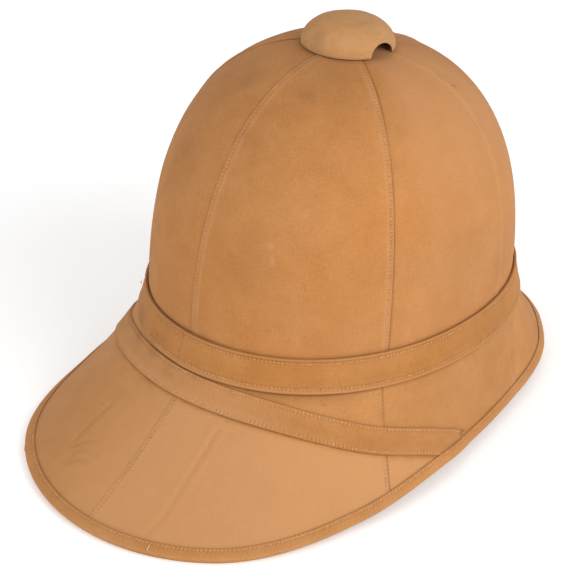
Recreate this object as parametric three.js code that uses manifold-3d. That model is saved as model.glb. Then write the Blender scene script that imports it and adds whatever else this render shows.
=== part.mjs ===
import * as THREE from 'three';
import { mergeVertices } from 'three/addons/utils/BufferGeometryUtils.js';
import Module from 'manifold-3d';

// Sun helmet of pith, covered in cotton drill, standing on its own brim.
// Millimetres. The front faces -Y, the wearer's left is +X and +Z is up.

// Crown, measured over its cloth
const CROWN_WIDTH = 186;
const CROWN_LENGTH = 221.5;
const CROWN_RISE = 131.5;
const PLAN_SQUARENESS = 2.07;

// Foot of the crown, under the hatband
const BAND_LEVEL = 76.5;
const BAND_HEIGHT = 19;
const BAND_DIP = 4.8;
const FOOT_FLARE = 4.6;

// Brim, from the crown's widest oval out to the rim
const FRONT_OVERHANG = 78.75;
const SIDE_OVERHANG = 10.5;
const BACK_OVERHANG = 41;
const SIDE_LIFT = 8;
const REST_LEAN = 4.4;
const PRESSED_FLAT = 0.75;

// Walls
const SHELL_WALL = 3.5;
const RIM_WALL = 2;
const COVER_CLOTH = 1;
const BAND_CLOTH = 1.3;
const STRAP_CLOTH = 1.3;
const BINDING_CLOTH = 1;

// Clearances
const GAP = 0.3;
const BAND_GAP = 0.5;

// Cloth trims
const LAP_WIDTH = 4;
const LAP_RISE = 0.7;
const PIPING_RISE = 0.7;
const HEM_RISE = 0.3;
const STRAP_WIDTH = 15;
const BINDING_REACH = 5.5;

// Ventilator
const VENT_RADIUS = 12.5;
const CAP_RADIUS = 25.5;
const CAP_RISE = 16;
const CAP_WALL = 1.6;
const CAP_SQUARENESS = 2.15;
const NOTCH_WIDTH = 17;
const NOTCH_RISE = 6.5;
const COLLAR_WALL = 1.2;
const COLLAR_FLANGE = 17;
const COLLAR_CLEARANCE = 1;
const COLLAR_DROP = 3.4;

// Number of facets
const COLUMNS = 48;
const CROWN_ROWS = 8;
const BRIM_ROWS = 4;
const CAP_FACETS = 28;
const NOTCH_FACETS = 16;

// Small steps: to find a slope, to find where the strap ends, and to join equal corners
const SLOPE_STEP = 1e-3;
const END_STEP = 0.25;
const JOIN = 1e-4;

// Seams between the cloth panels, in degrees from the front towards the wearer's left. The panel
// after the seam or the one before it is folded and laps over the other.
const SEAMS = [
  { crown: 0, brim: 1.5, folded: 'after' },
  { crown: 59.5, brim: 57.5, folded: 'before' },
  { crown: 114, brim: 120, folded: 'before' },
  { crown: 180, brim: 180, folded: 'before' },
  { crown: 240, brim: 240, folded: 'before' },
  { crown: 300.5, brim: 302.5, folded: 'before' },
];

// Shape of the crown's side line: how it leaves the hatband and how it rounds over the top
const CROWN_LINE = [
  { angle: 0, climb: 2.2, shoulder: 2.55 },
  { angle: 90, climb: 3, shoulder: 2.5 },
  { angle: 180, climb: 1.55, shoulder: 2.8 },
];

// Rim of the brim, from the front round to the back: its reach as a share of the way from the
// side reach to the front and back reaches, and its height as a share of the side lift
const RIM = [
  { angle: 0, toFront: 1, toBack: 0, lift: 0 },
  { angle: 25, toFront: 0.85, toBack: 0, lift: 0 },
  { angle: 50, toFront: 0.41, toBack: 0, lift: 0.35 },
  { angle: 70, toFront: 0.16, toBack: 0, lift: 1.1 },
  { angle: 90, toFront: 0, toBack: 0, lift: 1 },
  { angle: 115, toFront: 0, toBack: 0.03, lift: 1 },
  { angle: 145, toFront: 0, toBack: 0.5, lift: 0.8 },
  { angle: 180, toFront: 0, toBack: 1, lift: 0 },
];

// Sweep of the brim: where its curve's control point lies between the crown's foot and the rim
const BRIM_SWEEP = [
  { angle: 0, out: 0.24, down: 0.41 },
  { angle: 180, out: 0.38, down: 0.51 },
];

// Middle of the peak strap, as a share of the way down the brim
const STRAP_LINE = [
  { angle: 0, share: 0.155 },
  { angle: 30, share: 0.205 },
  { angle: 60, share: 0.555 },
  { angle: 80, share: 0.87 },
  { angle: 100, share: 1.22 },
];

// Section of the hatband, down its height
const BAND_SECTION = [
  { down: 0, rise: 0 },
  { down: 0.05, rise: PIPING_RISE },
  { down: 0.13, rise: 0 },
  { down: 0.8, rise: 0 },
  { down: 0.85, rise: HEM_RISE },
  { down: 1, rise: HEM_RISE },
];

// Section of the binding, from the brim's upper side round the rim to its underside. Out is -1
// at the binding's inner edge, 0 at the cloth's edge and 1 at the tip.
const BINDING_SECTION = [
  { out: -1, down: 0 },
  { out: 0, down: 0 },
  { out: 0.7, down: 0.07 },
  { out: 1, down: 0.3 },
  { out: 1, down: 0.7 },
  { out: 0.7, down: 0.93 },
  { out: 0, down: 1 },
  { out: -1, down: 1 },
];

// Rings of the cap's dome, as shares of its radius
const CAP_RINGS = [1, 0.97, 0.88, 0.72, 0.5, 0.25];

// Smallest width of the strap, at its ends, as a share of the way down the brim
const STRAP_END = 0.04;

// Most of a column's width that a lap may take
const LAP_LIMIT = 0.7;

// Share of the binding's cloth that is left where it is pressed on the floor
const PRESSED_SHARE = 0.4;

const radians = THREE.MathUtils.degToRad;
const lean = radians(REST_LEAN);
const columnStep = (2 * Math.PI) / COLUMNS;

// Smooth curve through a table's column, the same on both sides of the helmet
function sideCurve(rows, column) {
  const angles = rows.map((row) => radians(row.angle));
  const values = rows.map((row) => row[column]);
  const curve = new THREE.CubicInterpolant(angles, values, 1);
  curve.settings = { endingStart: THREE.ZeroSlopeEnding, endingEnd: THREE.ZeroSlopeEnding };
  return (theta) => {
    const turned = THREE.MathUtils.euclideanModulo(theta + Math.PI, 2 * Math.PI) - Math.PI;
    return curve.evaluate(Math.abs(turned))[0];
  };
}

const climb = sideCurve(CROWN_LINE, 'climb');
const shoulder = sideCurve(CROWN_LINE, 'shoulder');
const toFront = sideCurve(RIM, 'toFront');
const toBack = sideCurve(RIM, 'toBack');
const lift = sideCurve(RIM, 'lift');
const sweepOut = sideCurve(BRIM_SWEEP, 'out');
const sweepDown = sideCurve(BRIM_SWEEP, 'down');
const strapShare = sideCurve(STRAP_LINE, 'share');

// A point at an angle round the crown's axis: 0 is the front, a quarter turn the wearer's left
function around(theta, radius, z) {
  return new THREE.Vector3(radius * Math.sin(theta), -radius * Math.cos(theta), z);
}

// Oval of the crown at the hatband
function ovalRadius(theta) {
  const across = Math.abs(Math.sin(theta)) / (CROWN_WIDTH / 2);
  const along = Math.abs(Math.cos(theta)) / (CROWN_LENGTH / 2);
  return (across ** PLAN_SQUARENESS + along ** PLAN_SQUARENESS) ** (-1 / PLAN_SQUARENESS);
}

// Height over the floor for a point of the leaning crown's frame, and the way back
function floorHeight(point) {
  return point.z * Math.cos(lean) - point.y * Math.sin(lean);
}

function crownHeight(y, height) {
  return (height + y * Math.sin(lean)) / Math.cos(lean);
}

// Height of the crown at a share of its rise
function riseTo(theta, share) {
  return BAND_LEVEL + share * CROWN_RISE - (1 - share) * BAND_DIP * Math.cos(theta);
}

// Height of the crown's cloth at a radius from its axis
function crownHeightAt(theta, radius) {
  const closing = 1 - (radius / ovalRadius(theta)) ** shoulder(theta);
  return riseTo(theta, closing ** (1 / climb(theta)));
}

// The crown's side line, from the hatband at 0 to the vent hole at 1
function crownLine(theta, share) {
  const last = Math.acos((VENT_RADIUS / ovalRadius(theta)) ** (shoulder(theta) / 2));
  const turn = share * last;
  const radius = ovalRadius(theta) * Math.cos(turn) ** (2 / shoulder(theta));
  return new THREE.Vector2(radius, riseTo(theta, Math.sin(turn) ** (2 / climb(theta))));
}

// The crown's foot, where the brim starts
function foot(theta) {
  return new THREE.Vector2(ovalRadius(theta) + FOOT_FLARE, riseTo(theta, 0) - BAND_HEIGHT);
}

// Reach of the rim from the crown's axis
const FRONT_REACH = CROWN_LENGTH / 2 + FRONT_OVERHANG;
const SIDE_REACH = CROWN_WIDTH / 2 + SIDE_OVERHANG;
const BACK_REACH = CROWN_LENGTH / 2 + BACK_OVERHANG;

// Depth of the rim, from the brim's cloth to the binding's underside
const RIM_DEPTH = COVER_CLOTH + GAP + RIM_WALL + GAP + BINDING_CLOTH;
const BINDING_TIP = GAP + BINDING_CLOTH;

function sweep(theta, from, to) {
  const control = new THREE.Vector2(
    THREE.MathUtils.lerp(from.x, to.x, sweepOut(theta)),
    THREE.MathUtils.lerp(from.y, to.y, sweepDown(theta)),
  );
  return new THREE.QuadraticBezierCurve(from, control, to);
}

// The brim's side line. The table gives the low outer corner of the rim, and the cloth's edge
// lies inside the binding, above that corner.
function brimLine(theta) {
  const radius = SIDE_REACH + toFront(theta) * (FRONT_REACH - SIDE_REACH)
    + toBack(theta) * (BACK_REACH - SIDE_REACH);
  const height = crownHeight(-radius * Math.cos(theta), lift(theta) * SIDE_LIFT - PRESSED_FLAT);
  const corner = new THREE.Vector2(radius, height);
  const down = sweep(theta, foot(theta), corner).getTangent(1);
  const up = new THREE.Vector2(-down.y, down.x);
  const edge = corner.clone().addScaledVector(up, RIM_DEPTH).addScaledVector(down, -BINDING_TIP);
  return sweep(theta, foot(theta), edge);
}

// The outside of the cloth, all the way down the helmet: the vent hole is at -1, the hatband's
// top edge at 0, the crown's foot at 1 and the cloth's edge in the rim at 2
function skinPoint(theta, station) {
  let line;
  if (station < 0) {
    line = crownLine(theta, -station);
  } else if (station < 1) {
    line = crownLine(theta, 0).lerp(foot(theta), station);
  } else {
    line = brimLine(theta).getPoint(station - 1);
  }
  return around(theta, line.x, line.y);
}

function skinNormal(theta, station) {
  const small = SLOPE_STEP;
  const round = skinPoint(theta + small, station).sub(skinPoint(theta - small, station));
  const down = skinPoint(theta, station + small).sub(skinPoint(theta, station - small));
  return down.cross(round).normalize();
}

// A point at a height over the cloth's outside, or under it where the height is negative
function skin(theta, station, height) {
  return skinPoint(theta, station).addScaledVector(skinNormal(theta, station), height);
}

// Closed solid between an outer and an inner sheet of points, each a list of columns that run
// down the helmet. A ring's last column meets its first.
function slab(outer, inner, ring) {
  const columns = outer.length;
  const rows = outer[0].length;
  const positions = [...outer.flat(), ...inner.flat()].flatMap((point) => point.toArray());
  const out = (column, row) => (column % columns) * rows + row;
  const back = (column, row) => out(column, row) + columns * rows;
  const index = [];
  const quad = (a, b, c, d) => index.push(a, b, c, a, c, d);
  const spans = ring ? columns : columns - 1;
  for (let i = 0; i < spans; i += 1) {
    for (let j = 0; j < rows - 1; j += 1) {
      quad(out(i, j), out(i, j + 1), out(i + 1, j + 1), out(i + 1, j));
      quad(back(i, j), back(i + 1, j), back(i + 1, j + 1), back(i, j + 1));
    }
    quad(out(i, 0), out(i + 1, 0), back(i + 1, 0), back(i, 0));
    quad(out(i, rows - 1), back(i, rows - 1), back(i + 1, rows - 1), out(i + 1, rows - 1));
  }
  if (!ring) {
    const end = columns - 1;
    for (let j = 0; j < rows - 1; j += 1) {
      quad(back(0, j), back(0, j + 1), out(0, j + 1), out(0, j));
      quad(out(end, j), out(end, j + 1), back(end, j + 1), back(end, j));
    }
  }
  const geometry = new THREE.BufferGeometry();
  geometry.setAttribute('position', new THREE.Float32BufferAttribute(positions, 3));
  geometry.setIndex(index);
  geometry.computeVertexNormals();
  return geometry;
}

const ringAngles = Array.from({ length: COLUMNS }, (_, i) => i * columnStep);

// Angles of a ring's columns, each moved to a seam of the crown or brim that lies close by
function seamedAngles(row) {
  return ringAngles.map((theta) => {
    const close = SEAMS.find((seam) => Math.abs(radians(seam[row]) - theta) < columnStep / 2);
    return close ? radians(close[row]) : theta;
  });
}

const crownAngles = seamedAngles('crown');
const brimAngles = seamedAngles('brim');

// Direction of the rim's run, and the way out over it, square to the run
function rimFrame(theta) {
  const small = SLOPE_STEP;
  const run = skinPoint(theta + small, 2).sub(skinPoint(theta - small, 2)).normalize();
  const up = skinNormal(theta, 2);
  const out = new THREE.Vector3().crossVectors(run, up).normalize();
  const down = skinPoint(theta, 2 + small).sub(skinPoint(theta, 2 - small)).divideScalar(2 * small);
  return { out, reachPerStation: down.dot(out) };
}

// Station at a distance in from the cloth's edge, measured square to the rim
function stationInside(theta, distance) {
  return 2 - distance / rimFrame(theta).reachPerStation;
}

// Rows of points down the helmet, each a function that gives its station at an angle. The last
// two lie along the binding's inner edge and the cloth's edge.
const BAND_BROW = -0.06;
const CROWN_COVER_END = 0.6;
const BRIM_COVER_START = 0.7;
const fixedRow = (station) => () => station;
const crownRows = Array.from({ length: CROWN_ROWS }, (_, i) => fixedRow(i / CROWN_ROWS - 1));
crownRows.push(fixedRow(BAND_BROW), fixedRow(0));
const brimRows = Array.from({ length: BRIM_ROWS + 1 }, (_, i) => (theta) => {
  return THREE.MathUtils.lerp(1, stationInside(theta, BINDING_REACH), i / BRIM_ROWS);
});
brimRows.push(fixedRow(2));

// Thickness of the shell, less towards the rim
function shellWall(station) {
  return THREE.MathUtils.lerp(SHELL_WALL, RIM_WALL, THREE.MathUtils.clamp(station - 1, 0, 1));
}

function shellGeometry() {
  const top = -COVER_CLOTH - GAP;
  const column = (rows, theta, height) => rows.map((row) => skin(theta, row(theta), height(row(theta))));
  const sheet = (height) => ringAngles.map((_, i) => [
    ...column(crownRows, crownAngles[i], height),
    ...column(brimRows, brimAngles[i], height),
  ]);
  return slab(sheet(() => top), sheet((u) => top - shellWall(u)), true);
}

// Cloth between two seams. Where an edge is folded it laps up over the seam, and the laps
// flatten out to nothing at the vent.
function panelGeometry(seam, next, rows, folds) {
  const radiusAt = (theta, u) => Math.hypot(skinPoint(theta, u).x, skinPoint(theta, u).y);
  const regular = [];
  for (let i = Math.ceil(seam / columnStep + 0.5); i * columnStep < next - 0.5 * columnStep; i += 1) {
    regular.push(i * columnStep);
  }
  const edge = (theta, way, inner, folded) => {
    const inset = (u, distance) => way * distance / radiusAt(theta, u);
    const widest = LAP_LIMIT * Math.abs(inner - theta);
    const lap = (u) => way * Math.min(Math.abs(inset(u, LAP_WIDTH)), widest);
    const border = { near: theta, shift: (u) => inset(u, GAP / 2), rise: folded ? LAP_RISE : 0 };
    return folded ? [
      border,
      { near: theta, shift: lap, rise: LAP_RISE },
      { near: theta, shift: (u) => lap(u) * (1 + LAP_RISE / LAP_WIDTH), rise: 0 },
    ] : [border];
  };
  const columns = [
    ...edge(seam, 1, regular[0], folds.start),
    ...regular.map((theta) => ({ near: theta, shift: () => 0, rise: 0 })),
    ...edge(next, -1, regular.at(-1), folds.end).reverse(),
  ];
  const sheet = (height) => columns.map(({ near, shift, rise }) => rows.map((row) => {
    const u = row(near);
    return skin(near + shift(u), u, height(u, rise));
  }));
  return slab(sheet((u, rise) => (u > -1 && u < 0 ? rise : 0)), sheet(() => -COVER_CLOTH), false);
}

// Hatband with a piped top edge and a folded hem
function hatbandGeometry() {
  const outer = crownAngles.map((theta) => BAND_SECTION.map(({ down, rise }) => {
    return skin(theta, down, BAND_GAP + BAND_CLOTH + rise);
  }));
  const inner = crownAngles.map((theta) => BAND_SECTION.map(({ down }) => skin(theta, down, BAND_GAP)));
  return slab(outer, inner, true);
}

// Half the strap's width as a share of the way down the brim, square to the strap's run
function strapHalfShare(theta) {
  const small = SLOPE_STEP;
  const at = (angle, extra) => skinPoint(angle, 1 + strapShare(angle) + extra);
  const run = at(theta + small, 0).sub(at(theta - small, 0)).normalize();
  const down = at(theta, small).sub(at(theta, -small)).divideScalar(2 * small);
  return STRAP_WIDTH / 2 / down.cross(run).length();
}

// Strap over the peak, from binding to binding
function strapGeometry() {
  const limit = (theta) => stationInside(theta, BINDING_REACH + GAP);
  const upper = (theta) => 1 + strapShare(theta) - strapHalfShare(theta);
  const lower = (theta) => Math.min(1 + strapShare(theta) + strapHalfShare(theta), limit(theta));
  let end = 0;
  while (lower(end) - upper(end) > STRAP_END) {
    end += radians(END_STEP);
  }
  const whole = Math.round(end / columnStep) - 1;
  const angles = [-end];
  for (let i = -whole; i <= whole; i += 1) {
    angles.push(i * columnStep);
  }
  angles.push(end);
  const shares = [0, 1 / 3, 2 / 3, 1];
  const sheet = (height) => angles.map((theta) => shares.map((share) => {
    return skin(theta, THREE.MathUtils.lerp(upper(theta), lower(theta), share), height);
  }));
  return slab(sheet(BAND_GAP + STRAP_CLOTH), sheet(BAND_GAP), false);
}

// Binding folded over the rim. Its section is square to the rim, and its low corner is pressed
// flat where it rests on the floor.
function bindingGeometry() {
  const floorUp = new THREE.Vector3(0, -Math.sin(lean), Math.cos(lean));
  const sheet = (top, under, tip, lowest) => brimAngles.map((theta) => {
    const { out } = rimFrame(theta);
    return BINDING_SECTION.map((place) => {
      const station = stationInside(theta, Math.max(-place.out * BINDING_REACH, 0));
      const thicker = shellWall(station) - RIM_WALL;
      const height = THREE.MathUtils.lerp(top, under - thicker, place.down);
      const point = skin(theta, station, height);
      point.addScaledVector(out, Math.max(place.out * tip, 0));
      const sunk = Math.max(lowest - floorHeight(point), 0);
      return point.addScaledVector(floorUp, sunk);
    });
  });
  const outer = sheet(BINDING_TIP, -RIM_DEPTH, BINDING_TIP, 0);
  const inner = sheet(GAP, BINDING_CLOTH - RIM_DEPTH, GAP, PRESSED_SHARE * BINDING_CLOTH);
  return slab(outer, inner, true);
}

// Highest cloth at a radius, all round the vent
function highest(radius) {
  return Math.max(...ringAngles.map((theta) => crownHeightAt(theta, radius)));
}

const capLevel = highest(CAP_RADIUS) + LAP_RISE / 2 + GAP;
const flangeLevel = highest(VENT_RADIUS) + GAP;

// Solid of revolution about +Z from a closed outline of radius and height pairs
function turned(outline, facets) {
  const points = outline.map(([radius, z]) => new THREE.Vector2(radius, z));
  return new THREE.LatheGeometry([...points, points[0]], facets).rotateX(Math.PI / 2);
}

// Height of the cap's dome over its rim, at a share of its radius
function domeShare(share) {
  return (1 - share ** CAP_SQUARENESS) ** (1 / CAP_SQUARENESS);
}

const wasm = await Module();
wasm.setup();

function toManifold(geometry) {
  const bare = geometry.clone();
  bare.deleteAttribute('normal');
  bare.deleteAttribute('uv');
  const merged = mergeVertices(bare, JOIN);
  return new wasm.Manifold(new wasm.Mesh({
    numProp: 3,
    vertProperties: new Float32Array(merged.attributes.position.array),
    triVerts: new Uint32Array(merged.index.array),
  }));
}

function toGeometry(solid) {
  const mesh = solid.getMesh();
  const geometry = new THREE.BufferGeometry();
  geometry.setAttribute('position', new THREE.BufferAttribute(mesh.vertProperties, 3));
  geometry.setIndex(new THREE.BufferAttribute(mesh.triVerts, 1));
  geometry.computeVertexNormals();
  return geometry;
}

// Hollow domed cap, with an arched air notch through each side of its rim
function capGeometry() {
  const outside = CAP_RINGS.map((share) => [CAP_RADIUS * share, CAP_RISE * domeShare(share)]);
  const innerRadius = CAP_RADIUS - CAP_WALL;
  const innerRise = CAP_RISE - CAP_WALL;
  const inside = CAP_RINGS.map((share) => [innerRadius * share, innerRise * domeShare(share)]);
  const outline = [...outside, [0, CAP_RISE], [0, innerRise], ...inside.reverse()];
  const dome = toManifold(turned(outline, CAP_FACETS));
  const notch = new THREE.CylinderGeometry(1, 1, 3 * CAP_RADIUS, NOTCH_FACETS);
  notch.rotateZ(Math.PI / 2);
  notch.scale(1, NOTCH_WIDTH / 2, NOTCH_RISE);
  return toGeometry(dome.subtract(toManifold(notch)));
}

// Collar through the vent hole: a flange on the cloth and a neck up to the cap
function collarGeometry() {
  const neck = VENT_RADIUS - COLLAR_CLEARANCE;
  const bottom = highest(VENT_RADIUS) - COVER_CLOTH - GAP - SHELL_WALL - COLLAR_DROP;
  const innerShare = neck / (CAP_RADIUS - CAP_WALL);
  const top = capLevel + (CAP_RISE - CAP_WALL) * domeShare(innerShare) - GAP;
  const flange = Math.min(COLLAR_FLANGE, CAP_RADIUS - CAP_WALL - GAP);
  return turned([
    [neck - COLLAR_WALL, bottom],
    [neck, bottom],
    [neck, flangeLevel],
    [flange, flangeLevel],
    [flange, flangeLevel + COLLAR_WALL],
    [neck, flangeLevel + COLLAR_WALL],
    [neck, top],
    [neck - COLLAR_WALL, top],
  ], CAP_FACETS);
}

const crown = new THREE.Group();
crown.rotation.x = -lean;

function add(name, geometry, color, roughness, metalness = 0) {
  const material = new THREE.MeshStandardMaterial({ color, roughness, metalness });
  const mesh = new THREE.Mesh(geometry, material);
  mesh.name = name;
  crown.add(mesh);
  return mesh;
}

add('shell', shellGeometry(), 0xb9a884, 0.95);

const crownCover = [...crownRows, fixedRow(CROWN_COVER_END)];
const brimCover = [fixedRow(BRIM_COVER_START), ...brimRows];
SEAMS.forEach((seam, i) => {
  const next = SEAMS[(i + 1) % SEAMS.length];
  const turn = i + 1 < SEAMS.length ? 0 : 2 * Math.PI;
  const folds = { start: seam.folded === 'after', end: next.folded === 'before' };
  const panel = (row, rows, edges) => {
    return panelGeometry(radians(seam[row]), radians(next[row]) + turn, rows, edges);
  };
  add(`crown_panel_${i + 1}`, panel('crown', crownCover, folds), 0xc48a52, 0.9);
  add(`brim_panel_${i + 1}`, panel('brim', brimCover, {}), 0xcf9760, 0.9);
});

add('hatband', hatbandGeometry(), 0xc0854c, 0.9);
add('peak_strap', strapGeometry(), 0xc9925c, 0.9);
add('edge_binding', bindingGeometry(), 0xb98450, 0.9);

const cap = add('vent_cap', capGeometry(), 0xc7966a, 0.9);
cap.position.z = capLevel;
add('vent_collar', collarGeometry(), 0x9a9a94, 0.45, 0.8);

// Stand the helmet on the floor, centred over its own box
const helmet = new THREE.Group();
helmet.add(crown);
helmet.updateMatrixWorld(true);
const box = new THREE.Box3().setFromObject(helmet, true);
helmet.position.set(-(box.min.x + box.max.x) / 2, -(box.min.y + box.max.y) / 2, -box.min.z);

export default helmet;
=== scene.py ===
import math

import bpy
import numpy as np
from mathutils import Matrix, Vector


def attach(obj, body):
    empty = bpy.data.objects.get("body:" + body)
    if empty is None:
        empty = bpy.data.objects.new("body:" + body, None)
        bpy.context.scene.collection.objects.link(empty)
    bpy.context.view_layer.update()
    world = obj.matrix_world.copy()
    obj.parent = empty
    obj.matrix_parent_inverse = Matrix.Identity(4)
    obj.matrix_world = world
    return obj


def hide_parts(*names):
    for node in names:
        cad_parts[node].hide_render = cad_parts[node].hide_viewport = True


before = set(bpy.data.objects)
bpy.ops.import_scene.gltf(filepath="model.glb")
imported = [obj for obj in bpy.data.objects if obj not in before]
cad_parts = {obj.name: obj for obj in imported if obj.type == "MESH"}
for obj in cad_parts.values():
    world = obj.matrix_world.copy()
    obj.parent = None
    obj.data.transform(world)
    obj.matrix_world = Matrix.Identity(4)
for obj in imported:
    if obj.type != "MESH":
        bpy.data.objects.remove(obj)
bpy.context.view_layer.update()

# Sun helmet of pith covered in cotton drill. Sizes are in millimetres in the crown's own frame,
# which leans back a little, and stand() brings them to the floor's frame.

MM = 0.001

# The part's own dimensions
CROWN_WIDTH = 186
CROWN_LENGTH = 221.5
CROWN_RISE = 131.5
PLAN_SQUARENESS = 2.07
BAND_LEVEL = 76.5
BAND_HEIGHT = 19
BAND_DIP = 4.8
FOOT_FLARE = 4.6
FRONT_REACH = 189.5
SIDE_REACH = 103.5
BACK_REACH = 151.75
SIDE_LIFT = 8
LEAN = math.radians(4.4)
PRESSED_FLAT = 0.75
RIM_DEPTH = 4.6
BINDING_TIP = 1.3
BINDING_REACH = 5.5
SHELL_WALL = 3.5
RIM_WALL = 2
COVER_DEPTH = 1.3
COVER_CLOTH = 0.9
BAND_GAP = 0.5
BAND_CLOTH = 1.3
STRAP_WIDTH = 15
STRAP_CLOTH = 1.3
STRAP_PRESSED = 0.6
BAND_PRESSED = 0.35
VENT_RADIUS = 12.5
CAP_RADIUS = 25.5
CAP_RISE = 16
CAP_WALL = 1.6
CAP_SQUARENESS = 2.15
CAP_RING = 11.5
NOTCH_WIDTH = 17
NOTCH_RISE = 6.5
CENTRE_Y = 18.11

CROWN_SEAMS = (0, 59.5, 114, 180, 240, 300.5)
BRIM_SEAMS = (1.5, 57.5, 120, 180, 240, 302.5)
FOLDED_AFTER = (True, False, False, False, False, False)

CROWN_LINE = {"angle": (0, 90, 180), "climb": (2.2, 3, 1.55), "shoulder": (2.55, 2.5, 2.8)}
RIM = {
    "angle": (0, 25, 50, 70, 90, 115, 145, 180),
    "front": (1, 0.85, 0.41, 0.16, 0, 0, 0, 0),
    "back": (0, 0, 0, 0, 0, 0.03, 0.5, 1),
    "lift": (0, 0, 0.35, 1.1, 1, 1, 0.8, 0),
}
BRIM_SWEEP = {"angle": (0, 180), "out": (0.24, 0.38), "down": (0.41, 0.51)}
STRAP_LINE = {"angle": (0, 30, 60, 80, 100), "share": (0.12, 0.2, 0.555, 0.87, 1.22)}

# Stitching
STITCH_PITCH = 2.1
STITCH_LENGTH = 1.6
STITCH_WIDTH = 0.4
LAP_STITCH = 1.7
BAND_TOP_STITCH = 2.7
BAND_HEM_STITCH = 3
STRAP_STITCH = 1.5
BINDING_STITCH = 1.3

# Raised fold at a seam, inwards from its edge, and the cloth that is tucked under it
LAP_IN = (0, 0.12, 0.4, 0.8, 1.2, 1.7, 2.2, 2.7, 3.8, 4.5, 6, 9)
LAP_RISE = (0.02, 0.3, 0.48, 0.5, 0.44, 0.32, 0.42, 0.5, 0.44, 0.22, 0.1, 0)
TUCK_IN = (-1.0, -0.2, 1.2)
TUCK_RISE = (-0.55, -0.35, 0)
FOLDED_COLUMNS = (0.04, 0.12, 0.28, 0.5, 0.8, 1.2, 1.7, 2.2, 2.7, 3.1, 3.3, 3.5, 3.8, 4.3, 5, 6, 7.4, 9)
TUCKED_COLUMNS = (-1.0, -0.3, 0.3, 1.4, 3.2)

# Marks left by wear: angle, station, radius in mm and strength
CROWN_SOIL = (
    (-6, -0.94, 8, 0.12), (21, -0.75, 5, 0.3), (28, -0.85, 14, 0.12), (44, -0.73, 9, 0.1),
    (-24, -0.41, 9, 0.14), (-27, -0.64, 16, 0.14), (-18, -0.75, 8, 0.2), (4, -0.56, 7, 0.16),
    (116, -0.67, 1.1, 0.6), (-1, -0.9, 9, 0.16), (82, -0.92, 8, 0.14), (61, -0.45, 3, 0.14),
    (113, -0.05, 12, 0.15), (2, -0.02, 6, 0.14), (215, -0.4, 14, 0.18), (265, -0.7, 12, 0.16),
)
PEAK_SOIL = (
    (17.5, 1.275, 0.6, 0.7), (41, 1.1, 0.6, 0.6), (-8, 1.15, 9, 0.3), (-22, 1.2, 10, 0.14),
    (-30, 1.3, 8, 0.14), (60, 1.35, 6, 0.08), (78, 1.4, 26, 0.05), (100, 1.5, 26, 0.05),
    (20, 1.2, 8, 0.14), (150, 1.5, 12, 0.14), (220, 1.4, 14, 0.12),
)
BAND_SOIL = ((-26, 0.95, 9, 0.4), (-14, 1, 5, 0.3), (-40, 0.8, 8, 0.25), (200, 0.8, 12, 0.2))
STRAP_SOIL = (
    (-34, 1.1, 7, 0.34), (-22, 1.05, 6, 0.34), (-12, 1.03, 5, 0.34), (-4, 1.02, 5, 0.3),
    (6, 1.015, 5, 0.26), (15, 1.02, 4.5, 0.18), (85, 1.845, 1.5, 1.2),
)

GORES = 6
THREAD_PITCH = 0.75
SMALL_STEP = 1e-3
NO_STITCH_NEAR = 9.0
THREAD_SIDES = 6


def side_curve(table, column):
    """Smooth curve through a table's column, the same on both sides of the helmet."""
    t = np.radians(np.array(table["angle"], float))
    v = np.array(table[column], float)
    steps = np.diff(t)
    secants = np.diff(v) / steps
    slopes = np.concatenate([[0], (secants[1:] + secants[:-1]) / 2, [0]])

    def curve(theta):
        x = np.abs((np.asarray(theta, float) + np.pi) % (2 * np.pi) - np.pi)
        i = np.clip(np.searchsorted(t, x, side="right") - 1, 0, len(t) - 2)
        p = (x - t[i]) / steps[i]
        start = (1 + 2 * p) * (1 - p) ** 2 * v[i] + p * (1 - p) ** 2 * steps[i] * slopes[i]
        end = p * p * (3 - 2 * p) * v[i + 1] + p * p * (p - 1) * steps[i] * slopes[i + 1]
        return start + end

    return curve


climb = side_curve(CROWN_LINE, "climb")
shoulder = side_curve(CROWN_LINE, "shoulder")
to_front = side_curve(RIM, "front")
to_back = side_curve(RIM, "back")
lift = side_curve(RIM, "lift")
sweep_out = side_curve(BRIM_SWEEP, "out")
sweep_down = side_curve(BRIM_SWEEP, "down")
strap_share = side_curve(STRAP_LINE, "share")


def oval_radius(theta):
    across = np.abs(np.sin(theta)) / (CROWN_WIDTH / 2)
    along = np.abs(np.cos(theta)) / (CROWN_LENGTH / 2)
    return (across**PLAN_SQUARENESS + along**PLAN_SQUARENESS) ** (-1 / PLAN_SQUARENESS)


def rise_to(theta, share):
    return BAND_LEVEL + share * CROWN_RISE - (1 - share) * BAND_DIP * np.cos(theta)


def crown_line(theta, share):
    q = shoulder(theta)
    last = np.arccos((VENT_RADIUS / oval_radius(theta)) ** (q / 2))
    turn = share * last
    radius = oval_radius(theta) * np.cos(turn) ** (2 / q)
    return radius, rise_to(theta, np.sin(turn) ** (2 / climb(theta)))


def foot(theta):
    return oval_radius(theta) + FOOT_FLARE, rise_to(theta, 0) - BAND_HEIGHT


def brim_line(theta, share):
    r0, z0 = foot(theta)
    radius = SIDE_REACH + to_front(theta) * (FRONT_REACH - SIDE_REACH)
    radius = radius + to_back(theta) * (BACK_REACH - SIDE_REACH)
    height = lift(theta) * SIDE_LIFT - PRESSED_FLAT
    level = (height - radius * np.cos(theta) * math.sin(LEAN)) / math.cos(LEAN)
    a, b = sweep_out(theta), sweep_down(theta)
    down = np.array([(1 - a) * (radius - r0), (1 - b) * (level - z0)])
    down = down / np.hypot(*down)
    edge_r = radius - down[1] * RIM_DEPTH - down[0] * BINDING_TIP
    edge_z = level + down[0] * RIM_DEPTH - down[1] * BINDING_TIP
    rc, zc = r0 + a * (edge_r - r0), z0 + b * (edge_z - z0)
    u, v, w = (1 - share) ** 2, 2 * share * (1 - share), share**2
    return u * r0 + v * rc + w * edge_r, u * z0 + v * zc + w * edge_z


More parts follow.
